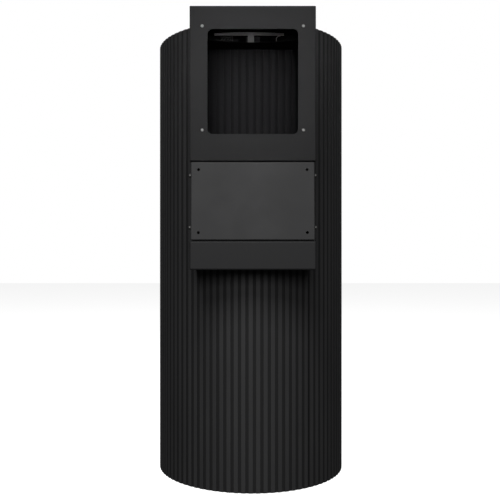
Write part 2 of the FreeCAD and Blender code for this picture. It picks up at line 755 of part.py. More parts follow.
def bay_shelf():
    """Shelf across the console's top, its front edge hollowed for the cables."""
    x = (-WALL_IN + GAP, WALL_IN - GAP)
    shelf = box(x, (SHELF_FRONT, BAY_BACK), (SHELF_TOP - SHEET, SHELF_TOP))
    centre = Vector(0, SHELF_HOLLOW_Y - SHELF_HOLLOW_R, SHELF_TOP - 2 * SHEET)
    return shelf.cut(Part.makeCylinder(SHELF_HOLLOW_R, 3 * SHEET, centre))


def bay_back():
    """Upright sheet that closes the bay in front of the column."""
    x = (-WALL_IN + GAP, WALL_IN - GAP)
    return box(x, (BAY_BACK - SHEET, BAY_BACK), (SHELF_TOP + GAP, ROOF_Z - SHEET - GAP))


def display_hanger():
    """T-shaped bracket on the bay's shelf: foot, saddle, post and arched crossbar."""
    base = SHELF_TOP + GAP
    half_thick = 0.5 * HANGER_THICK
    y = (HANGER_Y - half_thick, HANGER_Y + half_thick)
    saddle = box(HANGER_SADDLE, (y[1], y[1] + SHEET), (base, HANGER_SADDLE_TOP))
    foot = box(HANGER_SADDLE, (y[1], y[1] + HANGER_FOOT_DEPTH), (base, base + SHEET))
    post = box(HANGER_POST, y, (base, CROSSBAR_Z[0] + 1))
    bar = box(CROSSBAR, y, CROSSBAR_Z)
    half = 0.5 * (CROSSBAR[1] - CROSSBAR[0])
    middle = 0.5 * (CROSSBAR[1] + CROSSBAR[0])
    radius = (half * half + CROSSBAR_SAG * CROSSBAR_SAG) / (2 * CROSSBAR_SAG)
    centre = CROSSBAR_Z[1] - radius
    arch = rod(radius, Vector(middle, y[0] - 1, centre), Vector(middle, y[1] + 1, centre))
    bar = bar.common(arch)
    return foot.fuse([saddle, post, bar]).removeSplitter()


def terminal_block():
    """Connector block on a flat base, with a row of wire entries."""
    base_z = SHELF_TOP + GAP
    entry_r = 2.4
    entry_pitch = 6.8
    body = box(TERMINAL_BODY, TERMINAL_Y, (base_z, TERMINAL_TOP))
    body = body.makeFillet(1.5, edges_along(body, UP))
    base = box(TERMINAL_BASE, (TERMINAL_Y[0] + 8, TERMINAL_Y[1]), (base_z, TERMINAL_TOP - 6))
    block = body.fuse(base).removeSplitter()
    entries = []
    for index in range(4):
        x = TERMINAL_BODY[0] + 4.3 + entry_pitch * index
        z = base_z + 0.5 * (TERMINAL_TOP - base_z)
        entries.append(rod(entry_r, Vector(x, TERMINAL_Y[0] - 1, z), Vector(x, TERMINAL_Y[0] + 8, z)))
    return block.cut(entries)


def bent(start, centre, end):
    """Quarter arc in the hanger's plane, from start to end about a centre."""
    outward = (start - centre) + (end - centre)
    middle = centre + outward * ((start - centre).Length / outward.Length)
    return Part.Arc(start, middle, end).toShape()


def cable_hook():
    """Wire clip under the crossbar, bent sideways at both ends."""
    top = CROSSBAR_Z[0] - GAP - CLIP_WIRE_R
    tail = Vector(CLIP_X + CLIP_TOP_BEND + 2, HANGER_Y, top)
    high_end = Vector(CLIP_X + CLIP_TOP_BEND, HANGER_Y, top)
    high_centre = Vector(CLIP_X + CLIP_TOP_BEND, HANGER_Y, top - CLIP_TOP_BEND)
    high = Vector(CLIP_X, HANGER_Y, top - CLIP_TOP_BEND)
    foot_z = SHELF_TOP + GAP + CLIP_WIRE_R
    low = Vector(CLIP_X, HANGER_Y, foot_z + CLIP_LOW_BEND)
    low_centre = Vector(CLIP_X + CLIP_LOW_BEND, HANGER_Y, foot_z + CLIP_LOW_BEND)
    low_end = Vector(CLIP_X + CLIP_LOW_BEND, HANGER_Y, foot_z)
    edges = [
        Part.makeLine(tail, high_end),
        bent(high_end, high_centre, high),
        Part.makeLine(high, low),
        bent(low, low_centre, low_end),
    ]
    ring = Part.Wire(Part.makeCircle(CLIP_WIRE_R, tail, Vector(-1, 0, 0)))
    return Part.Wire(edges).makePipeShell([ring], True, True)


def mounting_rails():
    """Two bars between the console's sides and the column, hollowed to its round face."""
    rails = []
    rail = box((RAIL_X - 8, WALL_IN - GAP), (-240, -200), (560, 1035))
    rail = rail.cut(Part.makeCylinder(COLUMN_R + 0.3, 1200))
    for height in RAIL_SCREW_Z:
        bar = rod(3.2, Vector(RAIL_X, -245, height), Vector(RAIL_X, -195, height))
        rail = rail.cut(bar)
    rails.append(rail)
    rails.append(mirrored(rail))
    return group(rails)


def rail_screws():
    """Screws that hold the rails to the column."""
    screws = []
    for side in (-1, 1):
        for height in RAIL_SCREW_Z:
            x = side * RAIL_X
            shank = rod(2.95, Vector(x, -240.5, height), Vector(x, -192, height))
            head = button_head(5.2, 3.2, Vector(x, -240.2, height), Vector(0, -1, 0))
            screws.append(shank.fuse(head))
    return group(screws)


def loom_grommet():
    """Rubber bush where the cable loom enters the column."""
    def at(y):
        return Vector(LOOM_X, y, LOOM_Z)
    bush = rod(LOOM_R - GAP, at(-253), at(-230)).fuse(rod(27, at(-256), at(-252.5)))
    return bush.removeSplitter().cut(rod(17, at(-260), at(-220)))


# ---- equipment -------------------------------------------------------------

def equipment_shelf():
    """Flat tray with folded front and rear edges and an air grille."""
    top = box((-TRAY_HALF, TRAY_HALF), (TRAY_FRONT, TRAY_REAR), (TRAY_TOP - SHEET, TRAY_TOP))
    folds = []
    for y in ((TRAY_FRONT, TRAY_FRONT + SHEET), (TRAY_REAR - SHEET, TRAY_REAR)):
        folds.append(box((-140, 140), y, (TRAY_TOP - 22, TRAY_TOP)))
    slots = []
    for index in range(TRAY_SLOTS):
        x = TRAY_SLOT_X + TRAY_SLOT_PITCH * index
        slots.append(box((x - 4, x + 4), (-60, 60), (TRAY_TOP - 5, TRAY_TOP + 1)))
    return top.fuse(folds).removeSplitter().cut(slots)


def shelf_brackets():
    """Angle brackets from the four posts to the shelf."""
    under = TRAY_TOP - SHEET - GAP
    pieces = []
    for post_x, post_y in POST_PLACES[::2]:
        face = post_y - math.copysign(0.5 * POST + GAP, post_y)
        toward = math.copysign(1, post_y)
        y = sorted((face, face - toward * 20))
        flat = box((150, post_x + 10), y, (under - 4, under))
        y = sorted((face, face - toward * 3))
        upright = box((post_x - 10, post_x + 10), y, (under - 40, under - 3))
        bracket = flat.fuse(upright).removeSplitter()
        pieces.append(bracket)
        pieces.append(mirrored(bracket))
    return group(pieces)


def computer_case():
    """Small computer with rounded corners and side vents."""
    case = box((-90, 90), (-80, 100), (TRAY_TOP + 6, TRAY_TOP + 48))
    case = case.makeFillet(6, edges_along(case, UP))
    slots = []
    for index in range(-5, 6):
        y = 10 + 12.0 * index
        slots.append(box((86, 91), (y - 3, y + 3), (TRAY_TOP + 16, TRAY_TOP + 38)))
        slots.append(box((-91, -86), (y - 3, y + 3), (TRAY_TOP + 16, TRAY_TOP + 38)))
    return case.cut(slots)


def computer_feet():
    """Four rubber feet."""
    feet = []
    for x in (-75, 75):
        for y in (-65, 85):
            feet.append(rod(8, Vector(x, y, TRAY_TOP), Vector(x, y, TRAY_TOP + 6)))
    return group(feet)


def power_strip():
    """Socket strip with five outlets and a pocket for the switch."""
    strip = box((-STRIP_HALF, STRIP_HALF), (STRIP_FRONT, STRIP_REAR), (STRIP_BOTTOM, STRIP_TOP))
    strip = strip.makeFillet(4, edges_along(strip, UP))
    centre = 0.5 * (STRIP_FRONT + STRIP_REAR)
    cutters = []
    for index in range(5):
        x = -120 + 42.0 * index
        cutters.append(rod(17, Vector(x, centre, STRIP_TOP - 12), Vector(x, centre, STRIP_TOP + 1)))
    pocket = ((ROCKER_X - 12.8, ROCKER_X + 12.8), (centre - 7, centre + 7))
    cutters.append(box(pocket[0], pocket[1], (STRIP_TOP - 14, STRIP_TOP + 1)))
    pivot = STRIP_TOP - 3
    cutters.append(rod(1.55, Vector(ROCKER_X, centre - 9.2, pivot), Vector(ROCKER_X, centre + 9.2, pivot)))
    return strip.cut(cutters)


def power_rocker():
    """Rocker switch, tipped to its on position."""
    centre = 0.5 * (STRIP_FRONT + STRIP_REAR)
    pivot = STRIP_TOP - 3
    profile = [(-10.5, -6), (10.5, -6), (10.5, 4), (0, 2.4), (-10.5, 4)]
    points = [(ROCKER_X + a, pivot + b) for a, b in profile]
    body = prism(points, "y", (centre - 6.5, centre + 6.5))
    pin = rod(1.5, Vector(ROCKER_X, centre - 9, pivot), Vector(ROCKER_X, centre + 9, pivot))
    rocker = body.fuse(pin)
    rocker.rotate(Vector(ROCKER_X, centre, pivot), Vector(0, 1, 0), ROCKER_TILT)
    return rocker


def strip_bracket():
    """Low table that holds the socket strip above the base plate."""
    y = (STRIP_FRONT, STRIP_REAR)
    top = box((-130, 130), y, (STRIP_BOTTOM - 3, STRIP_BOTTOM - GAP))
    legs = [box((side - 1.5, side + 1.5), y, (BASE_T + GAP, STRIP_BOTTOM - 2)) for side in (-120, 120)]
    return top.fuse(legs).removeSplitter()


def build():
    """Every node by name."""
    ring = fluted_ring((CLAD_BOTTOM, COLUMN_TOP))
    return {
        "bezel_panel": bezel_panel(),
        "keypad_plate": keypad_plate(),
        "apron_panel": apron_panel(),
        "console_side_left": side_wall(-1),
        "console_side_right": side_wall(1),
        "console_roof": console_roof(),
        "console_floor": console_floor(),
        "seal_strips": seal_strips(),
        "bay_shelf": bay_shelf(),
        "bay_back": bay_back(),
        "display_hanger": display_hanger(),
        "terminal_block": terminal_block(),
        "cable_hook": cable_hook(),
        "bezel_screws": bezel_screws(),
        "display_standoffs": display_standoffs(),
        "keypad_side_screws": side_screws(),
        "keypad_side_washers": side_washers(),
        "rivet_nuts": rivet_nuts(),
        "mounting_rails": mounting_rails(),
        "rail_screws": rail_screws(),
        "loom_grommet": loom_grommet(),
        "base_plate": base_plate(),
        "base_grommet": base_grommet(),
        "shell_left": shell(True),
        "shell_right": shell(False),
        "rear_skirt": rear_sheet((BASE_T, DOOR_BOTTOM - DOOR_GAP)),
        "rear_header": rear_sheet((DOOR_TOP + DOOR_GAP, RING_TOP)),
        "column_cladding": column_cladding(ring),
        "top_ring": top_ring(),
        "top_cap": top_cap(),
        "cap_screws": cap_screws(),
        "inner_posts": inner_posts(),
        "door_jambs": door_jambs(),
        "door_seal": door_seal(),
        "door_shell": door_shell(),
        "door_cladding": door_cladding(ring),
        "door_stiffeners": door_stiffeners(),
        "hinge_leaves_body": hinge_leaves_body(),
        "hinge_leaves_door": hinge_leaves_door(),
        "hinge_pins": hinge_pins(),
        "lock_body": lock_body(),
        "lock_nut": lock_nut(),
        "lock_barrel": lock_barrel(),
        "lock_cam": lock_cam(),
        "fan_frame": fan_frame(),
        "fan_rotor": fan_rotor(),
        "fan_guard": fan_guard(),
        "fan_standoffs": fan_standoffs(),
        "equipment_shelf": equipment_shelf(),
        "shelf_brackets": shelf_brackets(),
        "computer_case": computer_case(),
        "computer_feet": computer_feet(),
        "power_strip": power_strip(),
        "power_rocker": power_rocker(),
        "strip_bracket": strip_bracket(),
    }


def main():
    """Write one STEP file per node."""
    os.makedirs("parts", exist_ok=True)
    for name, shape in build().items():
        if not shape.isValid():
            print("invalid shape:", name)
        shape.exportStep("parts/" + name + ".step")
        print(name, len(shape.Solids), round(shape.Volume))


main()
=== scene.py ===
"""Museum kiosk: a fluted column with a folded sheet-metal console, dressed round its frame."""

import json
import logging
import math
from contextlib import contextmanager
from dataclasses import dataclass
from enum import Enum
from typing import Callable, Iterator, Sequence

import bmesh
import bpy
from mathutils import Matrix, Vector


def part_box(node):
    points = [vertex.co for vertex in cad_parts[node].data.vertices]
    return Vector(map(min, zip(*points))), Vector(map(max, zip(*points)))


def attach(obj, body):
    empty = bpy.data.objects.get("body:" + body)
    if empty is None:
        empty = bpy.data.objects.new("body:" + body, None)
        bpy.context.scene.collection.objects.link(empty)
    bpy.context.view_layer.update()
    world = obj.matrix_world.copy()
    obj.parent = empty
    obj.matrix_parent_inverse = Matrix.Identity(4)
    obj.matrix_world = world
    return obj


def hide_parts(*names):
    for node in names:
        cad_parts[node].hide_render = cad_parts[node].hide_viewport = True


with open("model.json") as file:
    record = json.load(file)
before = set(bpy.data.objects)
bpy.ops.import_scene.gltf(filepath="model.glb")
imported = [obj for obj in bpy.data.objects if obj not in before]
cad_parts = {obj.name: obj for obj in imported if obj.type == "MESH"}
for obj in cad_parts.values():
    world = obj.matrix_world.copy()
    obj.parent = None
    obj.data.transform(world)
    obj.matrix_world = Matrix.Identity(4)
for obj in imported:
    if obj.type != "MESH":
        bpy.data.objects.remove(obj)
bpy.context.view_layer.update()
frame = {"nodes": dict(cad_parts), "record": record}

LOG = logging.getLogger("kiosk")
MM = 0.001
TOUCH = 0.1 * MM
MERGE = 0.01 * MM
FLAT_ANGLE = 0.6
Point = tuple[float, float, float]


class Part(Enum):
    """Which elements of a mesh a selection is made of."""

    EDGES = "EDGE"
    FACES = "FACE"


# ---- modelling ---------------------------------------------------------------

def rest() -> None:
    """Leave edit mode and deselect every object."""
    if bpy.context.object is not None and bpy.context.object.mode != "OBJECT":
        bpy.ops.object.mode_set(mode="OBJECT")
    bpy.ops.object.select_all(action="DESELECT")


def activate(piece: bpy.types.Object) -> None:
    """Make one object the only selected and the active one."""
    rest()
    piece.select_set(True)
    bpy.context.view_layer.objects.active = piece


def settle(piece: bpy.types.Object) -> bpy.types.Object:
    """Put an object's place, turn and scale into its mesh."""
    activate(piece)
    bpy.ops.object.transform_apply(location=True, rotation=True, scale=True)
    return piece


@contextmanager
def editing(piece: bpy.types.Object) -> Iterator[None]:
    """Edit mode on one object, with nothing selected at the start."""
    activate(piece)
    bpy.ops.object.mode_set(mode="EDIT")
    bpy.ops.mesh.select_all(action="DESELECT")
    yield
    bpy.ops.object.mode_set(mode="OBJECT")


def choose(piece: bpy.types.Object, part: Part, test: Callable[[object], bool]) -> None:
    """Select the elements that pass a test, and nothing else.

    Args:
        piece: the object that is in edit mode.
        part: the kind of element.
        test: says whether a bmesh element is wanted.
    """
    bpy.ops.mesh.select_mode(type=part.value)
    mesh = bmesh.from_edit_mesh(piece.data)
    groups = {Part.EDGES: mesh.edges, Part.FACES: mesh.faces}
    bpy.ops.mesh.select_all(action="DESELECT")
    for element in groups[part]:
        if test(element):
            element.select_set(True)
    mesh.select_flush_mode()
    bmesh.update_edit_mesh(piece.data)


def facing(direction: Point, limit: float = 0.99) -> Callable[[object], bool]:
    """Test for faces whose normal points along a direction."""
    wanted = Vector(direction).normalized()
    return lambda face: face.normal.dot(wanted) > limit


def block(name: str, low: Sequence[float], high: Sequence[float]) -> bpy.types.Object:
    """Rectangular block between two corners."""
    rest()
    a, b = Vector(low), Vector(high)
    bpy.ops.mesh.primitive_cube_add(size=1, location=(a + b) / 2, scale=b - a)
    piece = bpy.context.object
    piece.name = name
    return settle(piece)


def bar(name: str, radius: float, start: Sequence[float], end: Sequence[float],
        sides: int = 32) -> bpy.types.Object:
    """Round bar between two points."""
    rest()
    a, b = Vector(start), Vector(end)
    turn = (b - a).to_track_quat("Z", "Y").to_euler()
    bpy.ops.mesh.primitive_cylinder_add(
        vertices=sides, radius=radius, depth=(b - a).length, location=(a + b) / 2, rotation=turn)
    piece = bpy.context.object
    piece.name = name
    return settle(piece)


def modify(piece: bpy.types.Object, kind: str, **values: object) -> None:
    """Add a modifier with these values and apply it."""
    activate(piece)
    modifier = piece.modifiers.new(kind.title(), kind)
    for key, value in values.items():
        setattr(modifier, key, value)
    bpy.ops.object.modifier_apply(modifier=modifier.name)


def cut(piece: bpy.types.Object, cutters: Sequence[bpy.types.Object]) -> None:
    """Take other solids out of a piece and use those up."""
    for cutter in cutters:
        modify(piece, "BOOLEAN", operation="DIFFERENCE", object=cutter, solver="EXACT")
        bpy.data.objects.remove(cutter, do_unlink=True)


def soften(piece: bpy.types.Object, width: float = 0.35 * MM, segments: int = 2,
           corner: float = 40.0) -> None:
    """Round the sharp edges a little, as paint and tumbling leave them."""
    modify(piece, "BEVEL", width=width, segments=segments, limit_method="ANGLE",
           angle_limit=math.radians(corner), harden_normals=False, use_clamp_overlap=True)


def smooth(piece: bpy.types.Object, angle: float = 35.0) -> None:
    """Shade smooth below an angle, with the large faces kept flat."""
    activate(piece)
    bpy.ops.object.shade_smooth_by_angle(angle=math.radians(angle))
    modify(piece, "WEIGHTED_NORMAL", weight=100, keep_sharp=True)


def join(pieces: Sequence[bpy.types.Object], name: str) -> bpy.types.Object:
    """Make several objects one."""
    rest()
    for piece in pieces:
        piece.select_set(True)
    bpy.context.view_layer.objects.active = pieces[0]
    bpy.ops.object.join()
    pieces[0].name = name
    return pieces[0]


def copied(piece: bpy.types.Object, matrix: Matrix) -> bpy.types.Object:
    """Copy of a piece with its own mesh, moved by a matrix."""
    activate(piece)
    bpy.ops.object.duplicate(linked=False)
    twin = bpy.context.object
    twin.matrix_world = matrix
    return settle(twin)


def refined(node: str, width: float = 0.3 * MM, corner: float = 40.0) -> bpy.types.Object:
    """Merged copy of a CAD node with its sharp edges rounded.

    Args:
        node: name of the CAD node.
        width: width of the rounding.
        corner: edges sharper than this angle, in degrees, are rounded.

    Returns:
        The new piece, named after the node.
    """
    source = frame["nodes"][node]
    piece = source.copy()
    piece.data = source.data.copy()
    for key in list(piece.keys()):
        del piece[key]
    piece.parent = None
    bpy.context.scene.collection.objects.link(piece)
    piece.name = node + "_dressed"
    with editing(piece):
        bpy.ops.mesh.select_all(action="SELECT")
        bpy.ops.mesh.customdata_custom_splitnormals_clear()
        bpy.ops.mesh.remove_doubles(threshold=MERGE)
        bpy.ops.mesh.dissolve_limited(angle_limit=math.radians(FLAT_ANGLE))
    soften(piece, width=width, corner=corner)
    smooth(piece)
    return piece


def finish_piece(piece: bpy.types.Object, body: str, slot: str, finish: "Finish",
                 *nodes: str) -> None:
    """Dress a piece, set it on its body and log it.

    Args:
        piece: the finished mesh.
        body: CAD body that it moves with.
        slot: material slot of the record; not used.
        finish: what it is painted or made with.
        nodes: CAD nodes that it stands for.
    """
    piece.data.materials.clear()
    piece.data.materials.append(finish.material())
    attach(piece, body)
    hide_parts(*nodes)
    LOG.info("%s: %d faces on %s", piece.name, len(piece.data.polygons), body)


def paint_chosen(piece: bpy.types.Object, finish: "Finish",
                 test: Callable[[object], bool]) -> None:
    """Give the faces of a finished piece that pass a test a second finish."""
    piece.data.materials.append(finish.material())
    with editing(piece):
        choose(piece, Part.FACES, test)
        piece.active_material_index = 1
        bpy.ops.object.material_slot_assign()


# ---- finishes ----------------------------------------------------------------

FINE_DETAIL = 3.0
BROAD_DETAIL = 4.0
FINE_RANGE = (0.35, 0.65)
BROAD_RANGE = (0.3, 0.7)
GRAIN_SHARE = 0.6
TONE_SHARE = 0.6
HOLLOW_ROUGHNESS = 0.75
# Places of the mix node's sockets, which share their names
FLOAT_A, FLOAT_B, FLOAT_OUT = 2, 3, 0
COLOUR_A, COLOUR_B, COLOUR_OUT = 6, 7, 2


@dataclass(frozen=True)
class Finish:
    """Procedural finish: two near colours, mottled roughness and a fine bumped grain.

    The grain, its bump and the mottling are in metres. Where the hollow radii are set, painted
    shade darkens the colour below the first radius to a share of the colour above the second.
    """

    name: str
    colour: tuple[float, float, float]
    second: tuple[float, float, float]
    roughness: tuple[float, float] = (0.45, 0.6)
    metallic: float = 0.0
    grain: float = 0.8 * MM
    bump: float = 0.02 * MM
    stretch: Point = (1.0, 1.0, 1.0)
    mottle: float = 60 * MM
    specular: float = 0.5
    # Radii over which painted shade darkens the bottom of the flutes, and the share of colour left
    # there.
    groove_shade_radii: tuple[float, float] | None = None
    groove_shade: float = 0.45

    def material(self) -> bpy.types.Material:
        """The finish's material, made once."""
        known = bpy.data.materials.get(self.name)
        if known is not None:
            return known
        material = bpy.data.materials.new(self.name)
        material.use_nodes = True
        nodes = material.node_tree.nodes
        links = material.node_tree.links
        shader = nodes["Principled BSDF"]
        shader.inputs["Metallic"].default_value = self.metallic
        shader.inputs["Specular IOR Level"].default_value = self.specular
        place = nodes.new("ShaderNodeTexCoord")
        turn = nodes.new("ShaderNodeMapping")
        turn.inputs["Scale"].default_value = self.stretch
        links.new(place.outputs["Object"], turn.inputs["Vector"])
        fine = self.noise(material, turn, 1.0 / self.grain, FINE_DETAIL)
        broad = self.noise(material, turn, 1.0 / self.mottle, BROAD_DETAIL)
        blend = self.spread(material, fine, FINE_RANGE, (0.0, 1.0))
        wide = self.spread(material, broad, BROAD_RANGE, (0.0, 1.0))
        average = nodes.new("ShaderNodeMath")
        average.operation = "MULTIPLY_ADD"
        average.inputs[1].default_value = GRAIN_SHARE
        links.new(blend.outputs["Result"], average.inputs[0])
        links.new(wide.outputs["Result"], average.inputs[2])
        tone = nodes.new("ShaderNodeMix")
        tone.data_type = "RGBA"
        tone.inputs[COLOUR_A].default_value = (*self.colour, 1.0)
        tone.inputs[COLOUR_B].default_value = (*self.second, 1.0)
        half = nodes.new("ShaderNodeMath")
        half.operation = "MULTIPLY"
        half.inputs[1].default_value = TONE_SHARE
        links.new(average.outputs[0], half.inputs[0])
        links.new(half.outputs[0], tone.inputs["Factor"])
        links.new(tone.outputs[COLOUR_OUT], shader.inputs["Base Color"])
        rough = self.spread(material, broad, BROAD_RANGE, self.roughness)
        links.new(rough.outputs["Result"], shader.inputs["Roughness"])
        if self.groove_shade_radii is not None:
            self.paint_groove_shade(material, place, tone, rough)
        relief = nodes.new("ShaderNodeBump")
        relief.inputs["Strength"].default_value = 1.0
        relief.inputs["Distance"].default_value = self.bump
        links.new(fine.outputs["Fac"], relief.inputs["Height"])
        links.new(relief.outputs["Normal"], shader.inputs["Normal"])
        return material

    def paint_groove_shade(self, material: bpy.types.Material, place: bpy.types.Node,
                       tone: bpy.types.Node, rough: bpy.types.Node) -> None:
        """Painted shade at the bottom of the flutes, with duller roughness there, by distance from
        the axis.
        """
        nodes = material.node_tree.nodes
        links = material.node_tree.links
        shader = nodes["Principled BSDF"]
        level = nodes.new("ShaderNodeVectorMath")
        level.operation = "MULTIPLY"
        level.inputs[1].default_value = (1.0, 1.0, 0.0)
        links.new(place.outputs["Object"], level.inputs[0])
        reach = nodes.new("ShaderNodeVectorMath")
        reach.operation = "LENGTH"
        links.new(level.outputs["Vector"], reach.inputs[0])
        share = nodes.new("ShaderNodeMapRange")
        share.inputs["From Min"].default_value = self.groove_shade_radii[0]
        share.inputs["From Max"].default_value = self.groove_shade_radii[1]
        links.new(reach.outputs["Value"], share.inputs["Value"])
        # Painted shade: the colour in the hollows is mixed down to a share of itself.
        groove_shade = nodes.new("ShaderNodeMix")
        groove_shade.data_type = "RGBA"
        dark = (*(self.groove_shade * value for value in self.colour), 1.0)
        groove_shade.inputs[COLOUR_A].default_value = dark
        links.new(share.outputs["Result"], groove_shade.inputs["Factor"])
        links.new(tone.outputs[COLOUR_OUT], groove_shade.inputs[COLOUR_B])
        links.new(groove_shade.outputs[COLOUR_OUT], shader.inputs["Base Color"])
        dull = nodes.new("ShaderNodeMix")
        dull.inputs[FLOAT_A].default_value = HOLLOW_ROUGHNESS
        links.new(share.outputs["Result"], dull.inputs["Factor"])
        links.new(rough.outputs["Result"], dull.inputs[FLOAT_B])
        links.new(dull.outputs[FLOAT_OUT], shader.inputs["Roughness"])

    @staticmethod
    def noise(material: bpy.types.Material, turn: bpy.types.Node, scale: float,
              detail: float) -> bpy.types.Node:
        """Noise texture on the mapped coordinates."""
        node = material.node_tree.nodes.new("ShaderNodeTexNoise")
        node.inputs["Scale"].default_value = scale
        node.inputs["Detail"].default_value = detail
        material.node_tree.links.new(turn.outputs["Vector"], node.inputs["Vector"])
        return node

    @staticmethod
    def spread(material: bpy.types.Material, source: bpy.types.Node, given: tuple[float, float],
               wanted: tuple[float, float]) -> bpy.types.Node:
        """Map a range of a noise's values on to another range."""
        node = material.node_tree.nodes.new("ShaderNodeMapRange")
        node.inputs["From Min"].default_value = given[0]
        node.inputs["From Max"].default_value = given[1]
        node.inputs["To Min"].default_value = wanted[0]
        node.inputs["To Max"].default_value = wanted[1]
        material.node_tree.links.new(source.outputs["Fac"], node.inputs["Value"])
        return node


POWDER = Finish("black_powder_coat", (0.006, 0.006, 0.0065), (0.010, 0.010, 0.0105),
                roughness=(0.50, 0.60), grain=0.9 * MM, bump=0.03 * MM, specular=0.10)
# Lighter copy of the powder coat for the apron: painted light, as the apron gets less light.
APRON_LIT_POWDER = Finish("apron_powder_painted_light", (0.0096, 0.0096, 0.0100), (0.0130, 0.0130, 0.0134),
                      roughness=(0.48, 0.56), grain=0.8 * MM, bump=0.025 * MM, specular=0.075)
# Darker copy of the powder coat for the bezel: painted shade.
BEZEL_SHADED_POWDER = Finish("bezel_powder_painted_shade", (0.0066, 0.0066, 0.0069), (0.009, 0.009, 0.0093),
                      roughness=(0.48, 0.56), grain=0.8 * MM, bump=0.025 * MM, specular=0.055)
# Lighter copy of the powder coat for the keypad plate: painted light for its upward tilt.
PLATE_LIT_POWDER = Finish("plate_powder_painted_light", (0.0129, 0.0129, 0.0133), (0.0172, 0.0172, 0.0176),
                      roughness=(0.44, 0.52), grain=0.8 * MM, bump=0.025 * MM, specular=0.095)
# The hollow radii paint shade into the bottom of the flutes, on the column and on its door.
FLUTED = Finish("black_fluted_finish", (0.0150, 0.0150, 0.0155), (0.0205, 0.0205, 0.021),
                roughness=(0.55, 0.62), grain=0.7 * MM, bump=0.02 * MM, stretch=(1.0, 1.0, 0.25),
                specular=0.12, groove_shade_radii=(249.3 * MM, 249.95 * MM))
# Darker copy of the fluted finish for the column inside the console: painted shade, with painted
# shade in its hollows as well.
SHADED_FLUTES = Finish("fluted_painted_shade", (0.0036, 0.0036, 0.0039), (0.0057, 0.0057, 0.006),
                       roughness=(0.60, 0.70), grain=0.7 * MM, bump=0.02 * MM,
                       stretch=(1.0, 1.0, 0.25), specular=0.035,
                       groove_shade_radii=(248.7 * MM, 249.5 * MM), groove_shade=0.85)
# Black powder coat darkened to near black for the bay's sheets: painted shade inside the bay.
BAY_SHADED_POWDER = Finish("bay_powder_painted_shade", (0.0008, 0.0008, 0.0008), (0.0014, 0.0014, 0.0014),
                   roughness=(0.85, 0.95), grain=0.6 * MM, bump=0.02 * MM, specular=0.01)
RUBBER = Finish("black_rubber_finish", (0.010, 0.010, 0.010), (0.018, 0.018, 0.018),
                roughness=(0.75, 0.9), grain=0.5 * MM, bump=0.03 * MM, specular=0.3)
DARK_SADDLE = Finish("dark_saddle", (0.0022, 0.0022, 0.0024), (0.0034, 0.0034, 0.0036),
                     roughness=(0.6, 0.7), grain=0.4 * MM, bump=0.006 * MM, specular=0.04)
MILL = Finish("mill_aluminium", (0.043, 0.043, 0.044), (0.062, 0.062, 0.063), roughness=(0.6, 0.7),
              metallic=1.0, grain=0.25 * MM, bump=0.004 * MM, stretch=(0.08, 1.0, 1.0))
ANODISED = Finish("dark_anodised", (0.05, 0.05, 0.055), (0.07, 0.07, 0.078), roughness=(0.32, 0.42),
                  metallic=0.8, grain=0.3 * MM, bump=0.006 * MM, stretch=(0.1, 1.0, 1.0))
PLASTIC = Finish("moulded_plastic", (0.009, 0.009, 0.010), (0.014, 0.014, 0.015),
                 roughness=(0.5, 0.6), grain=0.4 * MM, bump=0.015 * MM, specular=0.15)
BLOCK_PLASTIC = Finish("block_plastic", (0.0022, 0.0022, 0.0024), (0.0035, 0.0035, 0.0037),
                       roughness=(0.55, 0.65), grain=0.4 * MM, bump=0.015 * MM, specular=0.05)
ZINC = Finish("zinc_plate", (0.50, 0.50, 0.49), (0.66, 0.66, 0.64), roughness=(0.25, 0.4),
              metallic=1.0, grain=1.6 * MM, bump=0.004 * MM, mottle=9 * MM)
PALE_SCREW = Finish("pale_screw_zinc", (0.10, 0.10, 0.10), (0.14, 0.14, 0.138),
                    roughness=(0.45, 0.55), metallic=1.0, grain=1.2 * MM, bump=0.004 * MM,
                    mottle=9 * MM)
DULL_WIRE = Finish("dull_wire_zinc", (0.045, 0.045, 0.045), (0.065, 0.065, 0.064),
                   roughness=(0.5, 0.6), metallic=1.0, grain=0.4 * MM, bump=0.003 * MM,
                   mottle=9 * MM)
OXIDE = Finish("black_oxide", (0.02, 0.02, 0.02), (0.035, 0.034, 0.032), roughness=(0.38, 0.5),
               metallic=0.6, grain=0.3 * MM, bump=0.006 * MM, mottle=4 * MM)
CHROME = Finish("lock_chrome", (0.62, 0.62, 0.63), (0.72, 0.72, 0.73), roughness=(0.08, 0.16),
                metallic=1.0, grain=0.3 * MM, bump=0.002 * MM, mottle=12 * MM)


# ---- screws ------------------------------------------------------------------

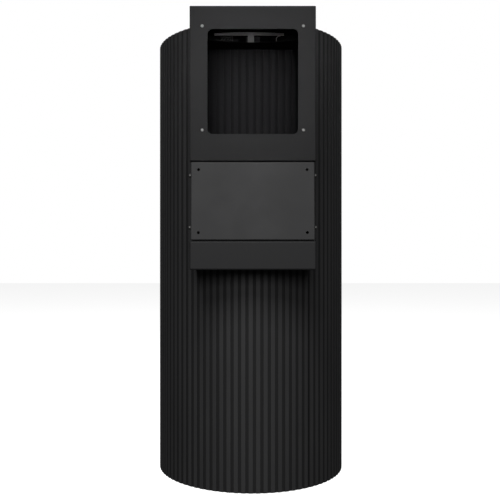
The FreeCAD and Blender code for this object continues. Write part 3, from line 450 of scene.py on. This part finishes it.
@dataclass
class ScrewSet:
    """Identical screws: a domed head with a recess and a plain shank."""

    name: str
    head_radius: float
    head_height: float
    shank_radius: float
    shank_length: float
    socket_sides: int = 6
    dome: float = 0.62
    recess: float = 0.42
    recess_floor: float = 0.35
    worn_edge: float = 0.03
    turn_step: float = 0.7

    def model(self) -> bpy.types.Object:
        """One screw at the origin, its head towards +Z and its seat at z = 0."""
        piece = bar(self.name, self.head_radius, (0, 0, 0), (0, 0, self.head_height), 32)
        top = self.head_height
        with editing(piece):
            choose(piece, Part.EDGES, lambda e: all(v.co.z > top * 0.99 for v in e.verts))
            bpy.ops.mesh.bevel(offset=self.dome * top, segments=5, profile=0.55)
            choose(piece, Part.FACES, facing((0, 0, -1)))
            inset = self.head_radius - self.shank_radius
            bpy.ops.mesh.inset(thickness=inset)
            bpy.ops.mesh.extrude_region_move(
                TRANSFORM_OT_translate={"value": (0, 0, -self.shank_length)})
        socket = bar("socket", self.recess * self.head_radius, (0, 0, self.recess_floor * top),
                     (0, 0, 1.5 * top), self.socket_sides)
        cut(piece, [socket])
        soften(piece, self.worn_edge * self.head_radius, 1)
        smooth(piece, 30)
        return piece

    def at(self, places: Sequence[tuple[Sequence[float], Sequence[float]]]) -> bpy.types.Object:
        """Copies at (seat, direction of the head) pairs, joined."""
        pattern = self.model()
        twins = []
        for index, (seat, direction) in enumerate(places):
            turn = Vector(direction).to_track_quat("Z", "Y").to_matrix().to_4x4()
            spin = Matrix.Rotation(self.turn_step * index, 4, "Z")
            twins.append(copied(pattern, Matrix.Translation(Vector(seat)) @ turn @ spin))
        bpy.data.objects.remove(pattern, do_unlink=True)
        return join(twins, self.name)


# ---- column ------------------------------------------------------------------

def around(radius: float, angle: float, z: float = 0.0) -> Vector:
    """Point at a radius and an angle in degrees from the front, towards +X."""
    turn = math.radians(angle)
    return Vector((radius * math.sin(turn), -radius * math.cos(turn), z))


def angle_of(point: Vector) -> float:
    """Angle of a point from the front, in degrees."""
    return math.degrees(math.atan2(point.x, -point.y))


@dataclass
class Flutes:
    """Fluted ring: one pitch is nine narrow faces, five of them the rib."""

    ribs: int = 87
    faces: int = 9
    rib_faces: int = 5
    depth: float = 1.5 * MM
    inner: float = 242 * MM
    first_rib: float = -0.79
    edge: float = 0.55 * MM

    @property
    def radius(self) -> float:
        """Radius over the ribs, from the frame."""
        low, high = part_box("column_cladding")
        return (high.x - low.x) / 2

    @property
    def pitch(self) -> float:
        """Angle from rib to rib, in degrees."""
        return 360.0 / self.ribs

    def groove(self, index: int) -> float:
        """Angle of the groove after a rib."""
        return self.first_rib + (index + 0.5) * self.pitch

    def in_groove(self, point: Vector) -> bool:
        """Whether a face's centre lies over a groove."""
        share = (angle_of(point) - self.first_rib) / self.pitch
        return abs((share + 0.5) % 1.0 - 0.5) * self.faces > 0.5 * self.rib_faces

    def ring(self, name: str, low: float, high: float) -> bpy.types.Object:
        """Closed fluted ring between two heights."""
        rest()
        count = self.ribs * self.faces
        bpy.ops.mesh.primitive_cylinder_add(
            vertices=count, radius=self.radius, depth=high - low, end_fill_type="NOTHING",
            location=(0, 0, (low + high) / 2))
        piece = bpy.context.object
        piece.name = name
        step = 360.0 / count
        first = angle_of(piece.data.vertices[0].co)
        piece.rotation_euler.z = math.radians((self.first_rib + 0.5 * step - first) % step)
        settle(piece)
        inward = (self.radius - self.depth) / self.radius
        with editing(piece):
            choose(piece, Part.FACES, lambda f: self.in_groove(f.calc_center_median()))
            bpy.ops.mesh.extrude_region_move(TRANSFORM_OT_translate={"value": (0, 0, 0)})
            bpy.ops.transform.resize(value=(inward, inward, 1), center_override=(0, 0, 0))
            choose(piece, Part.FACES, lambda f: abs(f.normal.z) > 0.9 or f.calc_area() < 1e-12)
            bpy.ops.mesh.delete(type="FACE")
        lining = self.lining(low, high)
        piece = join([piece, lining], name)
        for height in (low, high):
            with editing(piece):
                choose(piece, Part.EDGES, lambda e: e.is_boundary and all(
                    abs(v.co.z - height) < TOUCH for v in e.verts))
                bpy.ops.mesh.bridge_edge_loops()
        with editing(piece):
            bpy.ops.mesh.select_all(action="SELECT")
            bpy.ops.mesh.remove_doubles(threshold=0.5 * MERGE)
            bpy.ops.mesh.normals_make_consistent(inside=False)
        modify(piece, "BEVEL", width=self.edge, segments=2, limit_method="ANGLE",
               angle_limit=math.radians(50))
        return piece

    def lining(self, low: float, high: float) -> bpy.types.Object:
        """Smooth inner wall of the ring."""
        rest()
        bpy.ops.mesh.primitive_cylinder_add(
            vertices=self.ribs * 3, radius=self.inner, depth=high - low,
            end_fill_type="NOTHING", location=(0, 0, (low + high) / 2))
        wall = settle(bpy.context.object)
        with editing(wall):
            bpy.ops.mesh.select_all(action="SELECT")
            bpy.ops.mesh.flip_normals()
        return wall


def sector(piece: bpy.types.Object, angles: tuple[float, float]) -> bpy.types.Object:
    """Keep the part of a solid between two angles about the axis, less than half a turn."""
    for angle, side in zip(angles, (1, -1)):
        normal = around(1.0, angle + 90)
        with editing(piece):
            bpy.ops.mesh.select_all(action="SELECT")
            bpy.ops.mesh.bisect(plane_co=(0, 0, 0), plane_no=normal * side, use_fill=True,
                                clear_inner=True)
    return piece


def wedge(name: str, angles: tuple[float, float], heights: tuple[float, float],
          reach: float) -> bpy.types.Object:
    """Solid wedge about the column's axis, less than half a turn wide."""
    piece = block(name, (-reach, -reach, heights[0]), (reach, reach, heights[1]))
    return sector(piece, angles)


@dataclass
class Column:
    """The column: fluted cladding, lid, and everything that stays with it."""

    flutes: Flutes
    hinge_groove: int = 33
    latch_groove: int = 53
    door_gap: float = 1.5 * MM
    door_trim: float = 0.02
    reach: float = 0.4
    loom_hole: float = 22 * MM
    loom_span: tuple[float, float] = (-0.3, -0.2)
    lock_hole: float = 11 * MM
    air_grooves: range = range(40, 47)
    air_slot_half: float = 45.5 * MM
    air_slot_radius: float = 2.5 * MM
    cap_screw_angles: tuple[float, ...] = (45, 135, 225, 315)
    cap_screw_circle: float = 230 * MM
    cap_screw_radius: float = 5 * MM

    def half_groove(self) -> float:
        """Half a groove's width, in degrees."""
        free = self.flutes.faces - self.flutes.rib_faces
        return 0.5 * self.flutes.pitch * free / self.flutes.faces

    def window(self) -> bpy.types.Object:
        """The door's opening as a solid."""
        low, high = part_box("door_cladding")
        angles = (self.flutes.groove(self.hinge_groove) - self.half_groove(),
                  self.flutes.groove(self.latch_groove) + self.half_groove())
        heights = (low.z - self.door_gap, high.z + self.door_gap)
        return wedge("window", angles, heights, self.reach)

    def cladding(self) -> None:
        """Fixed cladding with the door's opening and the loom hole."""
        low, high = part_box("column_cladding")
        piece = self.flutes.ring("fluted_cladding", low.z, high.z)
        cut(piece, [self.window()])
        bush_low, bush_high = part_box("loom_grommet")
        centre = (bush_low + bush_high) / 2
        ends = [(centre.x, depth, centre.z) for depth in self.loom_span]
        cut(piece, [bar("hole", self.loom_hole, *ends, 48)])
        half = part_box("console_side_right")[1].x
        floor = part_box("console_floor")[0].z
        # Split the faces behind the console at its floor, where the painted shade begins.
        with editing(piece):
            choose(piece, Part.FACES, lambda f: abs(f.calc_center_median().x) < half
                   and f.calc_center_median().y < 0)
            bpy.ops.mesh.bisect(plane_co=(0, 0, floor), plane_no=(0, 0, 1))
        smooth(piece, 32)
        finish_piece(piece, "column", "black_fluted_cladding", FLUTED, "column_cladding")
        # Painted shade: the flutes inside the console, above its floor, take the darker copy of the
        # finish.
        paint_chosen(piece, SHADED_FLUTES, lambda f: abs(f.calc_center_median().x) < half
                     and f.calc_center_median().y < 0 and f.calc_center_median().z > floor)

    def door_skin(self) -> None:
        """Door's cladding: the same flutes between the door's two grooves, with air slots."""
        low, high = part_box("door_cladding")
        ring = self.flutes.ring("door_flutes", low.z, high.z)
        sector(ring, (self.flutes.groove(self.hinge_groove) + self.half_groove() + self.door_trim,
                      self.flutes.groove(self.latch_groove) - self.half_groove() - self.door_trim))
        fan_low, fan_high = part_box("fan_frame")
        middle = (fan_low.z + fan_high.z) / 2
        cutters = [self.slot_cutter(index, middle) for index in self.air_grooves]
        lock_low, lock_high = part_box("lock_body")
        centre = (lock_low + lock_high) / 2
        outward = Vector((centre.x, centre.y, 0)).normalized() * 0.04
        ends = (centre - outward, centre + outward)
        cutters.append(bar("lock_hole", self.lock_hole, *ends, 40))
        cut(ring, cutters)
        smooth(ring, 32)
        finish_piece(ring, "door", "black_fluted_cladding", FLUTED, "door_cladding")

    def slot_cutter(self, index: int, middle: float) -> bpy.types.Object:
        """Upright slot with round ends, in one groove."""
        half, radius = self.air_slot_half, self.air_slot_radius
        outer, inner = -self.flutes.radius - 10 * MM, -self.flutes.inner + 6 * MM
        body = block("slot", (-radius, outer, middle - half), (radius, inner, middle + half))
        with editing(body):
            choose(body, Part.EDGES, lambda e: abs((e.verts[0].co - e.verts[1].co).y) > 0.01)
            bpy.ops.mesh.bevel(offset=0.96 * radius, segments=5)
        body.rotation_euler.z = math.radians(self.flutes.groove(index))
        return settle(body)

    def lid(self) -> None:
        """Top cap with a rolled rim and its four screws."""
        piece = refined("top_cap", 0.8 * MM)
        finish_piece(piece, "column", "black_powder_coat", POWDER, "top_cap")
        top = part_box("top_cap")[1].z
        screws = ScrewSet("lid_screws", self.cap_screw_radius, 2.6 * MM, 2.4 * MM, 8 * MM)
        places = [(around(self.cap_screw_circle, angle, top), (0, 0, 1))
                  for angle in self.cap_screw_angles]
        finish_piece(screws.at(places), "column", "blackened_steel", OXIDE, "cap_screws")

    def build(self) -> None:
        """Everything of the column, in order."""
        self.cladding()
        self.door_skin()
        self.lid()


# ---- console -----------------------------------------------------------------

@dataclass
class Console:
    """Folded sheet-metal console: bezel, tilted plate, apron and housing."""

    sheet: float = 2 * MM
    bend: float = 3 * MM
    bezel_bend: float = 2.1 * MM
    apron_bend: float = 4.2 * MM
    window_radius: float = 12 * MM
    window_half: float = 103.4 * MM
    window_low: float = 851 * MM
    window_high: float = 1090.7 * MM
    plate_hole: float = 3.3 * MM
    plate_hole_x: float = 123.5 * MM
    plate_hole_up: tuple[float, float] = (17.5 * MM, 161.5 * MM)
    plate_foot: tuple[float, float] = (-346 * MM, 608.9 * MM)
    plate_head: tuple[float, float] = (-336 * MM, 788.4 * MM)
    end_flange: float = 12 * MM
    relief: float = 5 * MM
    side_screw_up: tuple[float, float] = (30 * MM, 149.5 * MM)
    side_screw_in: float = 13 * MM
    side_washer: tuple[float, float] = (5.5 * MM, 1.4 * MM)
    side_bore: float = 2.6 * MM
    window_screw_radius: float = 3.5 * MM
    window_screw_bore: float = 2.2 * MM
    flange: float = 24 * MM

    def tray(self, name: str, low: Vector, high: Vector, bend: float) -> bpy.types.Object:
        """Folded tray, open to the rear, with round bends."""
        piece = block(name, low, high)
        with editing(piece):
            choose(piece, Part.FACES, facing((0, 1, 0)))
            bpy.ops.mesh.delete(type="FACE")
            choose(piece, Part.EDGES, lambda e: not e.is_boundary)
            bpy.ops.mesh.bevel(offset=bend, segments=5, profile=0.5)
        modify(piece, "SOLIDIFY", thickness=self.sheet, offset=-1.0, use_even_offset=True,
               use_quality_normals=True)
        return piece

    def window(self, y: float) -> bpy.types.Object:
        """Solid with the display window's outline."""
        low = (-self.window_half, y - 0.01, self.window_low)
        high = (self.window_half, y + 0.01, self.window_high)
        piece = block("window", low, high)
        with editing(piece):
            choose(piece, Part.EDGES, lambda e: abs((e.verts[0].co - e.verts[1].co).y) > 0.01)
            bpy.ops.mesh.bevel(offset=self.window_radius, segments=10)
        return piece

    def bezel(self) -> None:
        """Upper panel with the display window."""
        low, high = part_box("bezel_panel")
        piece = self.tray("bezel", low, high, self.bezel_bend)
        screws_low, screws_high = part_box("bezel_screws")
        r = self.window_screw_radius
        corners = [(x, z) for x in (screws_low.x + r, screws_high.x - r)
                   for z in (screws_low.z + r, screws_high.z - r)]
        holes = [bar("hole", self.window_screw_bore, (x, low.y - 0.01, z), (x, low.y + 0.01, z), 24)
                 for x, z in corners]
        cut(piece, [self.window(low.y)] + holes)
        soften(piece, 0.35 * MM, 2, 50)
        smooth(piece, 30)
        # Painted shade: the bezel takes a darker copy of the powder coat.
        finish_piece(piece, "column", "black_powder_coat", BEZEL_SHADED_POWDER, "bezel_panel")
        pans = ScrewSet("window_screws", r, 2 * MM, 1.9 * MM, 10 * MM)
        places = [((x, low.y, z), (0, -1, 0)) for x, z in corners]
        finish_piece(pans.at(places), "column", "zinc_steel", PALE_SCREW, "bezel_screws")

    def apron(self) -> None:
        """Lower panel, folded back all round."""
        low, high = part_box("apron_panel")
        piece = self.tray("apron", low, high, self.apron_bend)
        soften(piece, 0.35 * MM, 2, 50)
        smooth(piece, 30)
        # Painted light: the apron takes a lighter copy of the powder coat.
        finish_piece(piece, "column", "black_powder_coat", APRON_LIT_POWDER, "apron_panel")

    def plate_matrix(self) -> Matrix:
        """From the plate's own frame (y in, z up it) to its place on the console."""
        run = self.plate_head[0] - self.plate_foot[0]
        rise = self.plate_head[1] - self.plate_foot[1]
        tilt = Matrix.Rotation(-math.atan2(run, rise), 4, "X")
        return Matrix.Translation((0, self.plate_foot[0], self.plate_foot[1])) @ tilt

    def keypad_plate(self) -> None:
        """Tilted plate with four flanges, reliefs at its corners and four through holes."""
        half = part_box("keypad_plate")[1].x
        run = self.plate_head[0] - self.plate_foot[0]
        length = math.hypot(run, self.plate_head[1] - self.plate_foot[1])
        ends = Vector((-half, 0, 0)), Vector((half, self.flange, length))
        piece = self.tray("plate", *ends, self.bend)
        cutters = []
        inner = half - self.relief
        for side in (-1, 1):
            for up in self.plate_hole_up:
                x = side * self.plate_hole_x
                cutters.append(bar("hole", self.plate_hole, (x, -0.01, up), (x, 0.01, up), 32))
        for low, high in ((-0.01, self.relief), (length - self.relief, length + 0.01)):
            cutters.append(block("trim", (-inner, self.end_flange, low), (inner, 0.05, high)))
            for side in (-1, 1):
                x = sorted((side * inner, side * (half + 4 * MM)))
                cutters.append(block("notch", (x[0], self.bend, low), (x[1], 0.05, high)))
        cut(piece, cutters)
        soften(piece, 0.3 * MM, 2, 50)
        piece.matrix_world = self.plate_matrix()
        settle(piece)
        smooth(piece, 30)
        # Painted light: the tilted plate takes a lighter copy of the powder coat.
        finish_piece(piece, "column", "black_powder_coat", PLATE_LIT_POWDER, "keypad_plate")

    def side_places(self, out: float) -> list[tuple[Vector, Vector]]:
        """Seats and directions of the side screws at a distance from the middle plane."""
        matrix = self.plate_matrix()
        places = []
        for side in (-1, 1):
            for up in self.side_screw_up:
                seat = matrix @ Vector((side * out, self.side_screw_in, up))
                places.append((seat, Vector((side, 0, 0))))
        return places

    def side_fixings(self) -> None:
        """Button-head screws with washers through the plate's flanges."""
        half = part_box("keypad_plate")[1].x
        radius, thickness = self.side_washer
        screws = ScrewSet("plate_screws", 4.75 * MM, 3.6 * MM, 2.4 * MM, 10 * MM)
        finish_piece(screws.at(self.side_places(half + 1.6 * MM)), "column", "blackened_steel",
                     OXIDE, "keypad_side_screws")
        rings = []
        for seat, direction in self.side_places(half + TOUCH):
            ring = bar("washer", radius, seat, seat + direction * thickness, 40)
            ends = (seat - direction * MM, seat + direction * 2 * MM)
            cut(ring, [bar("bore", self.side_bore, *ends, 32)])
            rings.append(ring)
        washers = join(rings, "plate_washers")
        soften(washers, 0.15 * MM, 2)
        smooth(washers)
        finish_piece(washers, "column", "blackened_steel", OXIDE, "keypad_side_washers")

    def housing(self) -> None:
        """Side walls, roof and floor with eased edges."""
        for node in ("console_side_left", "console_side_right", "console_roof", "console_floor"):
            finish_piece(refined(node), "column", "black_powder_coat", POWDER, node)
        # The bay's sheets are black powder coat, darkened as painted shade.
        for node in ("bay_shelf", "bay_back", "mounting_rails"):
            finish_piece(refined(node), "column", "black_powder_coat", BAY_SHADED_POWDER, node)

    def build(self) -> None:
        """Everything of the console, in order."""
        self.bezel()
        self.keypad_plate()
        self.apron()
        self.side_fixings()
        self.housing()


# ---- bay ---------------------------------------------------------------------

@dataclass
class Bay:
    """What stands on the bay's shelf behind the top of the display window."""

    post: tuple[float, float] = (-10.6 * MM, 3.4 * MM)
    post_back: float = -287.8 * MM
    saddle_top: float = 1089 * MM

    def hanger(self) -> None:
        """T-shaped hanger; its saddle and foot are darker than its post and crossbar."""
        piece = refined("display_hanger", 0.4 * MM)
        finish_piece(piece, "column", "plain_aluminium", MILL, "display_hanger")
        paint_chosen(piece, DARK_SADDLE, lambda f: self.on_saddle(f.calc_center_median()))

    def on_saddle(self, point: Vector) -> bool:
        """Whether a point is on the saddle or foot: low, and beside or behind the post."""
        middle = 0.5 * (self.post[0] + self.post[1])
        reach = 0.5 * (self.post[1] - self.post[0]) + 2 * TOUCH
        beside = abs(point.x - middle) > reach
        return point.z < self.saddle_top + TOUCH and (beside or point.y > self.post_back)

    def block(self) -> None:
        """Connector block of dull black plastic."""
        piece = refined("terminal_block")
        finish_piece(piece, "column", "dark_plastic", BLOCK_PLASTIC, "terminal_block")

    def clip(self) -> None:
        """Wire clip under the crossbar."""
        piece = refined("cable_hook", 0.15 * MM)
        finish_piece(piece, "column", "zinc_steel", DULL_WIRE, "cable_hook")

    def build(self) -> None:
        """Hanger, block and clip."""
        self.hanger()
        self.block()
        self.clip()


# ---- carried-over nodes --------------------------------------------------------

@dataclass
class Dressing:
    """Finishes for the CAD nodes, and eased edges for those that can be seen."""

    refine: tuple[str, ...] = (
        "loom_grommet", "base_grommet", "base_plate", "display_standoffs",
        "hinge_leaves_body", "hinge_leaves_door", "hinge_pins",
        "lock_body", "lock_nut", "lock_barrel", "lock_cam", "fan_frame", "fan_guard",
        "equipment_shelf", "shelf_brackets", "computer_case", "power_strip", "power_rocker",
        "strip_bracket", "door_jambs", "rivet_nuts", "computer_feet", "door_stiffeners")

    def finish_for(self, slot: str) -> Finish:
        """Finish for a material slot of the record."""
        table = {
            "black_powder_coat": POWDER, "black_fluted_cladding": FLUTED, "black_rubber": RUBBER,
            "plain_aluminium": MILL, "dark_aluminium": ANODISED, "dark_plastic": PLASTIC,
            "zinc_steel": ZINC, "blackened_steel": OXIDE, "chrome_lock": CHROME}
        return table[slot]

    def build(self) -> None:
        """Refine what can be seen and paint the rest."""
        record = frame["record"]
        slots = {row["node"]: row["material_slot"] for row in record["subparts"]}
        bodies = record["behaviour"]["bodies"]
        body_of = {node: body for body, nodes in bodies.items() for node in nodes}
        for node, slot in slots.items():
            source = frame["nodes"][node]
            if source.hide_render:
                continue
            finish = self.finish_for(slot)
            if node in self.refine:
                finish_piece(refined(node), body_of[node], slot, finish, node)
            else:
                source.data.materials.clear()
                source.data.materials.append(finish.material())


# ---- studio ------------------------------------------------------------------

@dataclass(frozen=True)
class Lamp:
    """Square soft light aimed at a point, the middle of the object unless told."""

    name: str
    place: Point
    size: float
    power: float
    target: Point = (0, 0, 0.6)
    spread: float = 180.0

    def build(self) -> None:
        """Hang the lamp."""
        data = bpy.data.lights.new(self.name, "AREA")
        data.shape = "SQUARE"
        data.size = self.size
        data.energy = self.power
        data.spread = math.radians(self.spread)
        holder = bpy.data.objects.new(self.name, data)
        holder.location = self.place
        aim = Vector(self.target) - Vector(self.place)
        holder.rotation_euler = aim.to_track_quat("-Z", "Y").to_euler()
        bpy.context.scene.collection.objects.link(holder)


@dataclass
class Studio:
    """Pale floor, soft lights, white surroundings and the camera."""

    camera_place: Point = (-0.0267, -1.869, 0.5628)
    lens: float = 48.45
    shift: tuple[float, float] = (0.0179, 0.0213)
    lamps: tuple[Lamp, ...] = (
        Lamp("key", (-0.35, -4.0, 4.15), 2.2, 275.0),
        Lamp("front", (-0.1, -5.0, 1.75), 1.5, 150.0),
        Lamp("fill", (0.0, -1.9, 0.7), 0.25, 0.24, (0, -0.29, 1.02), 15.0))
    surround: float = 0.05
    floor_size: float = 30.0
    floor_drop: float = 0.2 * MM
    floor_paint: float = 0.93
    floor_glow: float = 0.85
    floor_bounce: float = 0.1

    def camera(self) -> None:
        """Level camera in front of the console."""
        data = bpy.data.cameras.new("camera")
        data.lens = self.lens
        data.sensor_width = 36.0
        data.shift_x, data.shift_y = self.shift
        data.dof.use_dof = False
        holder = bpy.data.objects.new("camera", data)
        holder.location = self.camera_place
        holder.rotation_euler = (math.radians(90), 0, 0)
        bpy.context.scene.collection.objects.link(holder)
        bpy.context.scene.camera = holder

    @staticmethod
    def grey(level: float) -> tuple[float, float, float, float]:
        """Opaque grey of a level."""
        return (level, level, level, 1.0)

    @staticmethod
    def split_rays(tree: bpy.types.NodeTree, seen: bpy.types.NodeSocket,
                   lighting: bpy.types.NodeSocket, surface: bpy.types.NodeSocket) -> None:
        """One shader where the camera looks, another for the light that a surface gives.

        Args:
            tree: the node tree that the shaders are in.
            seen: the shader's output that the camera sees.
            lighting: the shader's output that lights the object.
            surface: the output node's socket.
        """
        path = tree.nodes.new("ShaderNodeLightPath")
        mixed = tree.nodes.new("ShaderNodeMixShader")
        tree.links.new(path.outputs["Is Camera Ray"], mixed.inputs["Fac"])
        tree.links.new(lighting, mixed.inputs[1])
        tree.links.new(seen, mixed.inputs[2])
        tree.links.new(mixed.outputs["Shader"], surface)

    def floor_material(self) -> bpy.types.Material:
        """Pale paint that looks bright but throws little light up."""
        material = bpy.data.materials.new("floor_paint")
        material.use_nodes = True
        tree = material.node_tree
        shader = tree.nodes["Principled BSDF"]
        shader.inputs["Base Color"].default_value = self.grey(self.floor_paint)
        shader.inputs["Roughness"].default_value = 0.9
        shader.inputs["Emission Color"].default_value = self.grey(1.0)
        shader.inputs["Emission Strength"].default_value = self.floor_glow
        dim = tree.nodes.new("ShaderNodeBsdfDiffuse")
        dim.inputs["Color"].default_value = self.grey(self.floor_bounce)
        self.split_rays(tree, shader.outputs["BSDF"], dim.outputs["BSDF"],
                        tree.nodes["Material Output"].inputs["Surface"])
        return material

    def floor(self) -> None:
        """Plain pale floor."""
        rest()
        bpy.ops.mesh.primitive_plane_add(size=self.floor_size, location=(0, 0, -self.floor_drop))
        floor = settle(bpy.context.object)
        floor.name = "floor"
        floor.data.materials.append(self.floor_material())

    def surroundings(self) -> None:
        """White backdrop that lights the object only dimly."""
        world = bpy.data.worlds.new("studio")
        bpy.context.scene.world = world
        world.use_nodes = True
        tree = world.node_tree
        seen = tree.nodes["Background"]
        light = tree.nodes.new("ShaderNodeBackground")
        for shader, strength in ((seen, 1.0), (light, self.surround)):
            shader.inputs["Color"].default_value = self.grey(1.0)
            shader.inputs["Strength"].default_value = strength
        self.split_rays(tree, seen.outputs["Background"], light.outputs["Background"],
                        tree.nodes["World Output"].inputs["Surface"])

    def build(self) -> None:
        """Camera, floor, backdrop and lights."""
        self.camera()
        self.floor()
        self.surroundings()
        for lamp in self.lamps:
            lamp.build()
        bpy.context.scene.view_settings.view_transform = "Standard"


def main() -> None:
    """Build the sub-assemblies in order."""
    logging.basicConfig(level=logging.INFO, format="%(message)s")
    Studio().build()
    Column(Flutes()).build()
    Console().build()
    Bay().build()
    Dressing().build()


if __name__ == "__main__":
    main()
